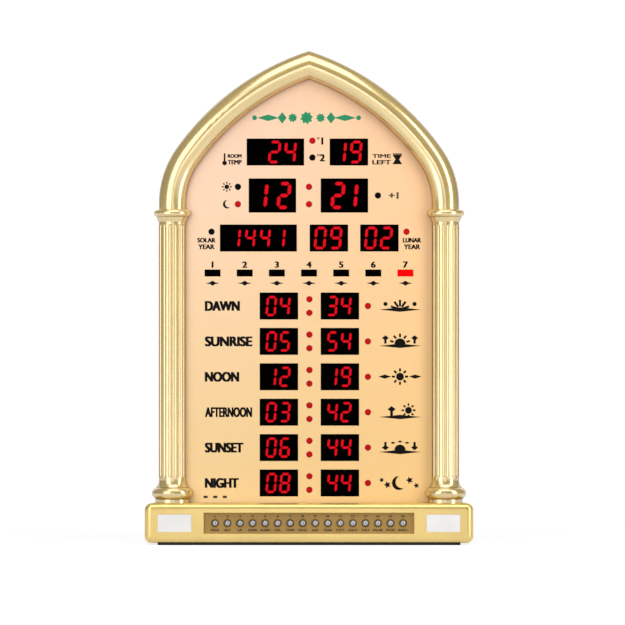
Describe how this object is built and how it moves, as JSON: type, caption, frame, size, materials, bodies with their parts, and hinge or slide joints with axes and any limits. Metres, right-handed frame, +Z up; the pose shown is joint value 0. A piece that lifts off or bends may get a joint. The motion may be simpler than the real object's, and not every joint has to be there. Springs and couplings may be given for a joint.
{
  "type": "azan clock",
  "caption": "Arch-topped clock with fluted side columns, seven-segment displays for the time, date and daily prayer times, and a row of domed keys in its plinth.",
  "frame": {"origin": "middle of the footprint, on the surface that the clock stands on", "axes": "+Z up along the columns, +X to the right seen from the front, +Y from the front to the back"},
  "size_m": [0.328, 0.056, 0.4937],
  "materials": {
    "gold": "satin champagne gold coating on a moulded channel",
    "face": "satin gold printed sheet with fine vertical brushing",
    "strip": "satin darker gold plate",
    "chrome": "polished dome with a ring of shadow round it",
    "lens": "white frosted lens",
    "display": "black gloss module front",
    "lit": "glowing red segment",
    "lamp": "round diffused lamp",
    "back": "fine textured black",
    "board": "green solder mask",
    "switch": "moulded black",
    "screw": "zinc plated",
    "rubber": "matt",
    "cell": "wrapped cell",
    "contact": "nickel plated",
    "cable": "grey flat cable"
  },
  "bodies": {
    "case": {"afternoon_display": "display", "arch_moulding": "gold", "backup_cells": "cell", "battery_contacts": "contact", "battery_tray": "back", "board_components": "switch", "board_screws": "screw", "case_screws": "screw", "countdown_display": "display", "dawn_display": "display", "day_display": "display", "dc_jack": "switch", "display_board": "board", "face_panel": "face", "hour_display": "display", "indicator_leds": "lamp", "key_board": "board", "key_strip": "strip", "key_switches": "switch", "lamp_leds": "lens", "left_capital": "gold", "left_column": "gold", "left_column_base": "gold", "left_lamp_lens": "lens", "lit_segments": "lit", "minute_display": "display", "month_display": "display", "night_display": "display", "noon_display": "display", "plinth_moulding": "gold", "rear_shell": "back", "ribbon_cable": "cable", "right_capital": "gold", "right_column": "gold", "right_column_base": "gold", "right_lamp_lens": "lens", "rubber_feet": "rubber", "speaker": "switch", "sunrise_display": "display", "sunset_display": "display", "temperature_display": "display", "weekday_bars": "display", "year_display": "display"},
    "key_01": {"key_01": "chrome"},
    "key_02": {"key_02": "chrome"},
    "key_03": {"key_03": "chrome"},
    "key_04": {"key_04": "chrome"},
    "key_05": {"key_05": "chrome"},
    "key_06": {"key_06": "chrome"},
    "key_07": {"key_07": "chrome"},
    "key_08": {"key_08": "chrome"},
    "key_09": {"key_09": "chrome"},
    "key_10": {"key_10": "chrome"},
    "key_11": {"key_11": "chrome"},
    "key_12": {"key_12": "chrome"},
    "key_13": {"key_13": "chrome"},
    "key_14": {"key_14": "chrome"},
    "key_15": {"key_15": "chrome"},
    "key_16": {"key_16": "chrome"},
    "battery_door": {"battery_door": "back"}
  },
  "joints": [
    {"name": "key_01_press", "type": "slide", "parent": "case", "child": "key_01", "axis": [0, 1, 0], "range_m": [0, 0.0009], "stiffness_N_per_m": 350, "springref_m": -0.0005},
    {"name": "key_02_press", "type": "slide", "parent": "case", "child": "key_02", "axis": [0, 1, 0], "range_m": [0, 0.0009], "stiffness_N_per_m": 350, "springref_m": -0.0005},
    {"name": "key_03_press", "type": "slide", "parent": "case", "child": "key_03", "axis": [0, 1, 0], "range_m": [0, 0.0009], "stiffness_N_per_m": 350, "springref_m": -0.0005},
    {"name": "key_04_press", "type": "slide", "parent": "case", "child": "key_04", "axis": [0, 1, 0], "range_m": [0, 0.0009], "stiffness_N_per_m": 350, "springref_m": -0.0005},
    {"name": "key_05_press", "type": "slide", "parent": "case", "child": "key_05", "axis": [0, 1, 0], "range_m": [0, 0.0009], "stiffness_N_per_m": 350, "springref_m": -0.0005},
    {"name": "key_06_press", "type": "slide", "parent": "case", "child": "key_06", "axis": [0, 1, 0], "range_m": [0, 0.0009], "stiffness_N_per_m": 350, "springref_m": -0.0005},
    {"name": "key_07_press", "type": "slide", "parent": "case", "child": "key_07", "axis": [0, 1, 0], "range_m": [0, 0.0009], "stiffness_N_per_m": 350, "springref_m": -0.0005},
    {"name": "key_08_press", "type": "slide", "parent": "case", "child": "key_08", "axis": [0, 1, 0], "range_m": [0, 0.0009], "stiffness_N_per_m": 350, "springref_m": -0.0005},
    {"name": "key_09_press", "type": "slide", "parent": "case", "child": "key_09", "axis": [0, 1, 0], "range_m": [0, 0.0009], "stiffness_N_per_m": 350, "springref_m": -0.0005},
    {"name": "key_10_press", "type": "slide", "parent": "case", "child": "key_10", "axis": [0, 1, 0], "range_m": [0, 0.0009], "stiffness_N_per_m": 350, "springref_m": -0.0005},
    {"name": "key_11_press", "type": "slide", "parent": "case", "child": "key_11", "axis": [0, 1, 0], "range_m": [0, 0.0009], "stiffness_N_per_m": 350, "springref_m": -0.0005},
    {"name": "key_12_press", "type": "slide", "parent": "case", "child": "key_12", "axis": [0, 1, 0], "range_m": [0, 0.0009], "stiffness_N_per_m": 350, "springref_m": -0.0005},
    {"name": "key_13_press", "type": "slide", "parent": "case", "child": "key_13", "axis": [0, 1, 0], "range_m": [0, 0.0009], "stiffness_N_per_m": 350, "springref_m": -0.0005},
    {"name": "key_14_press", "type": "slide", "parent": "case", "child": "key_14", "axis": [0, 1, 0], "range_m": [0, 0.0009], "stiffness_N_per_m": 350, "springref_m": -0.0005},
    {"name": "key_15_press", "type": "slide", "parent": "case", "child": "key_15", "axis": [0, 1, 0], "range_m": [0, 0.0009], "stiffness_N_per_m": 350, "springref_m": -0.0005},
    {"name": "key_16_press", "type": "slide", "parent": "case", "child": "key_16", "axis": [0, 1, 0], "range_m": [0, 0.0009], "stiffness_N_per_m": 350, "springref_m": -0.0005},
    {"name": "battery_door_hinge", "type": "hinge", "parent": "case", "child": "battery_door", "pos_m": [-0.05, 0.0268, 0.1474], "axis": [1, 0, 0], "range_deg": [0, 95]}
  ]
}
